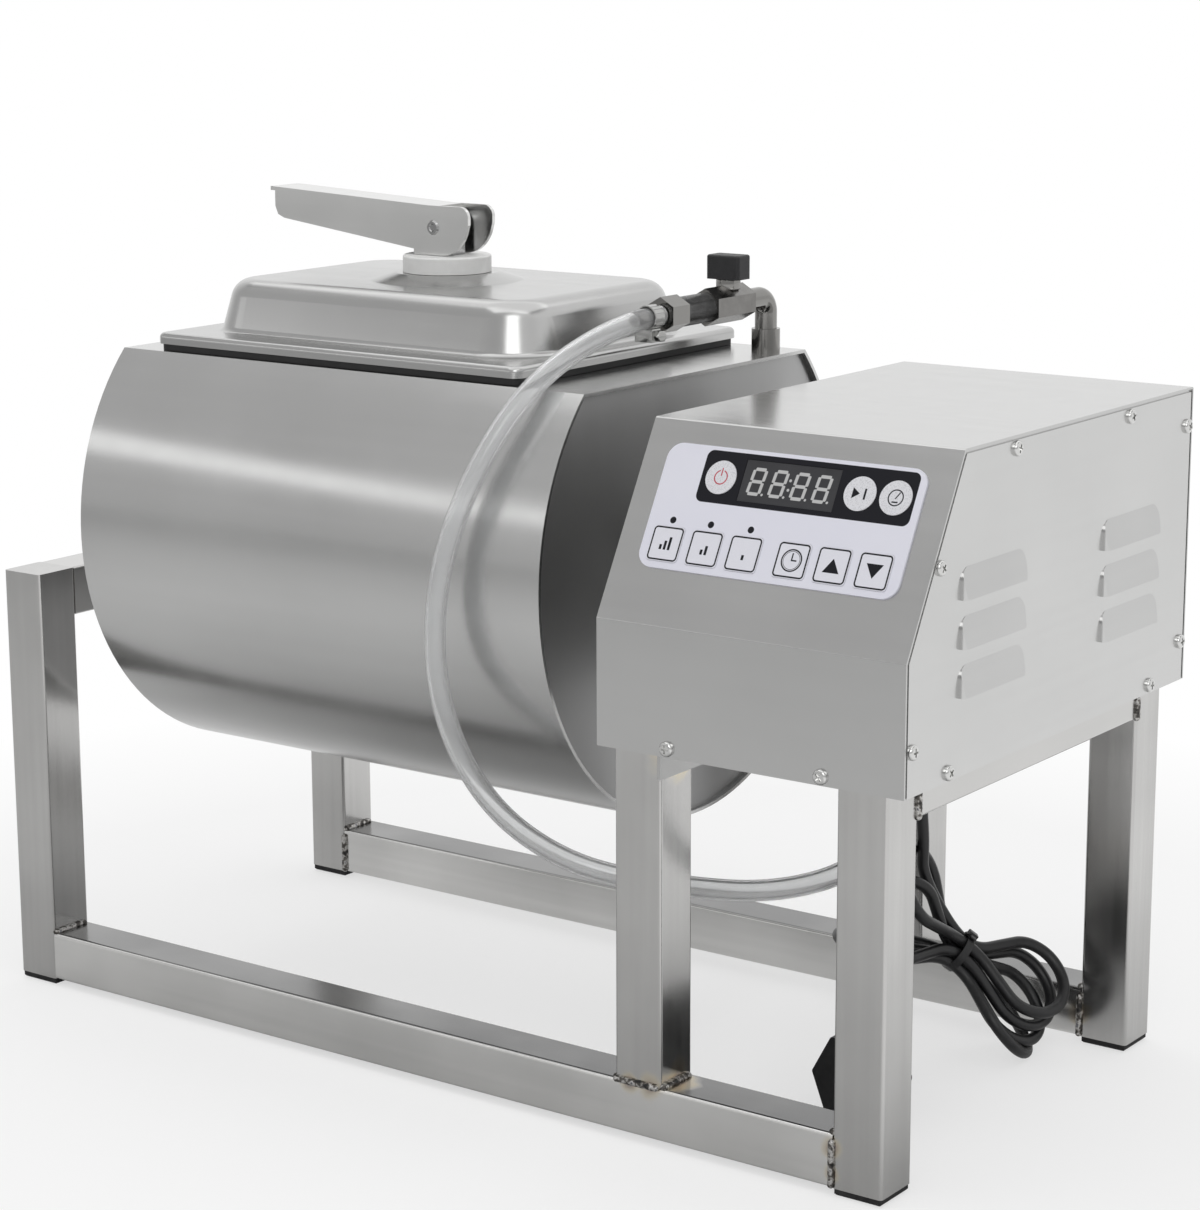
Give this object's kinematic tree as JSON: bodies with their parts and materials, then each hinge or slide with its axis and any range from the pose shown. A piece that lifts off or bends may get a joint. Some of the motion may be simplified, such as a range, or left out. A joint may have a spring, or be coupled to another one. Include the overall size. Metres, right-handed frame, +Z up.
{
  "type": "meat vacuum tumbler",
  "caption": "Tabletop meat tumbler: a flat-topped steel drum with a clamped lid turns on a square-tube frame, driven from a sloped control box and evacuated through a hose.",
  "frame": {"origin": "centre of the machine's footprint on the floor, hose and cord left out", "axes": "+X along the drum to the control box, -Y to the keypad's side, +Z up"},
  "size_m": [0.6446, 0.3374, 0.4915],
  "materials": {
    "frame_steel": "satin",
    "drum_steel": "satin",
    "sheet_steel": "satin",
    "lid_steel": "satin",
    "fitting_steel": "polished",
    "cast_block": "painted",
    "drive_grey": "cast",
    "black_plastic": "matte",
    "black_rubber": "matte",
    "white_nylon": "smooth",
    "clear_hose": "clear",
    "keypad_film": "printed film",
    "display_black": "smoked",
    "board_green": "coated"
  },
  "bodies": {
    "base": {"front_rail": "frame_steel", "rear_rail": "frame_steel", "left_posts": "frame_steel", "inner_legs": "frame_steel", "outer_legs": "frame_steel", "left_top_bar": "frame_steel", "inner_cross_bar": "frame_steel", "outer_cross_bar": "frame_steel", "leg_feet": "black_rubber", "left_pillow_block": "cast_block", "right_pillow_block": "cast_block", "block_bolts": "fitting_steel", "box_cover": "sheet_steel", "left_side_panel": "sheet_steel", "right_side_panel": "sheet_steel", "cover_screws": "fitting_steel", "deck_tray": "sheet_steel", "keypad_panel": "keypad_film", "display_module": "display_black", "control_board": "board_green", "gearbox": "drive_grey", "drive_motor": "drive_grey", "vacuum_pump": "black_plastic", "pump_head": "drive_grey", "cable_gland": "black_plastic", "bulkhead_tail": "fitting_steel", "vacuum_hose": "clear_hose", "mains_cord": "black_rubber", "cord_hank": "black_rubber", "cord_tie": "black_plastic", "mains_plug": "black_plastic"},
    "drum": {"drum_shell": "drum_steel", "drum_left_end": "drum_steel", "drum_right_end": "drum_steel", "left_shaft": "drum_steel", "right_shaft": "drum_steel", "bearing_inserts": "fitting_steel", "drum_baffles": "drum_steel", "line_socket": "fitting_steel", "line_elbow": "fitting_steel", "valve_body": "fitting_steel", "hose_tail": "fitting_steel", "hose_clamp": "fitting_steel"},
    "knob": {"valve_knob": "black_plastic"},
    "lid": {"lid_pan": "lid_steel", "lid_gasket": "black_rubber"},
    "washer": {"nylon_washer": "white_nylon"},
    "lock": {"lock_stud": "lid_steel", "lock_bar": "lid_steel"},
    "lever": {"cam_lever": "lid_steel", "lever_pin": "lid_steel"},
    "key_power": {"key_power": "keypad_film"},
    "key_run": {"key_run": "keypad_film"},
    "key_vacuum": {"key_vacuum": "keypad_film"},
    "key_fast": {"key_fast": "keypad_film"},
    "key_medium": {"key_medium": "keypad_film"},
    "key_slow": {"key_slow": "keypad_film"},
    "key_timer": {"key_timer": "keypad_film"},
    "key_up": {"key_up": "keypad_film"},
    "key_down": {"key_down": "keypad_film"}
  },
  "joints": [
    {"name": "drum_spin", "type": "hinge", "parent": "base", "child": "drum", "pos_m": [0, 0, 0.2939], "axis": [1, 0, 0], "continuous": true, "deforming": ["vacuum_hose"]},
    {"name": "lid_lift", "type": "slide", "parent": "drum", "child": "lid", "axis": [0, 0, 1], "range_m": [0, 0.15]},
    {"name": "lock_turn", "type": "hinge", "parent": "lid", "child": "washer", "pos_m": [-0.0941, 0, 0.4558], "axis": [0, 0, 1], "range_deg": [0, 90]},
    {"name": "lock_lift", "type": "slide", "parent": "washer", "child": "lock", "axis": [0, 0, 1], "range_m": [0, 0.01006]},
    {"name": "lever_flip", "type": "hinge", "parent": "lock", "child": "lever", "pos_m": [-0.0941, 0, 0.4725], "axis": [0, 1, 0], "range_deg": [0, 90]},
    {"name": "valve_turn", "type": "hinge", "parent": "drum", "child": "knob", "pos_m": [0.0744, 0.05, 0.4324], "axis": [0, 0, 1], "range_deg": [0, 90]},
    {"name": "key_power_press", "type": "slide", "parent": "base", "child": "key_power", "axis": [0, 0.8764, -0.4815], "range_m": [0, 0.0004], "stiffness_N_per_m": 3000},
    {"name": "key_run_press", "type": "slide", "parent": "base", "child": "key_run", "axis": [0, 0.8764, -0.4815], "range_m": [0, 0.0004], "stiffness_N_per_m": 3000},
    {"name": "key_vacuum_press", "type": "slide", "parent": "base", "child": "key_vacuum", "axis": [0, 0.8764, -0.4815], "range_m": [0, 0.0004], "stiffness_N_per_m": 3000},
    {"name": "key_fast_press", "type": "slide", "parent": "base", "child": "key_fast", "axis": [0, 0.8764, -0.4815], "range_m": [0, 0.0004], "stiffness_N_per_m": 3000},
    {"name": "key_medium_press", "type": "slide", "parent": "base", "child": "key_medium", "axis": [0, 0.8764, -0.4815], "range_m": [0, 0.0004], "stiffness_N_per_m": 3000},
    {"name": "key_slow_press", "type": "slide", "parent": "base", "child": "key_slow", "axis": [0, 0.8764, -0.4815], "range_m": [0, 0.0004], "stiffness_N_per_m": 3000},
    {"name": "key_timer_press", "type": "slide", "parent": "base", "child": "key_timer", "axis": [0, 0.8764, -0.4815], "range_m": [0, 0.0004], "stiffness_N_per_m": 3000},
    {"name": "key_up_press", "type": "slide", "parent": "base", "child": "key_up", "axis": [0, 0.8764, -0.4815], "range_m": [0, 0.0004], "stiffness_N_per_m": 3000},
    {"name": "key_down_press", "type": "slide", "parent": "base", "child": "key_down", "axis": [0, 0.8764, -0.4815], "range_m": [0, 0.0004], "stiffness_N_per_m": 3000}
  ],
  "couplings": [
    {"joint": "lock_lift", "follows": "lever_flip", "m_per_rad": 0.0064}
  ]
}
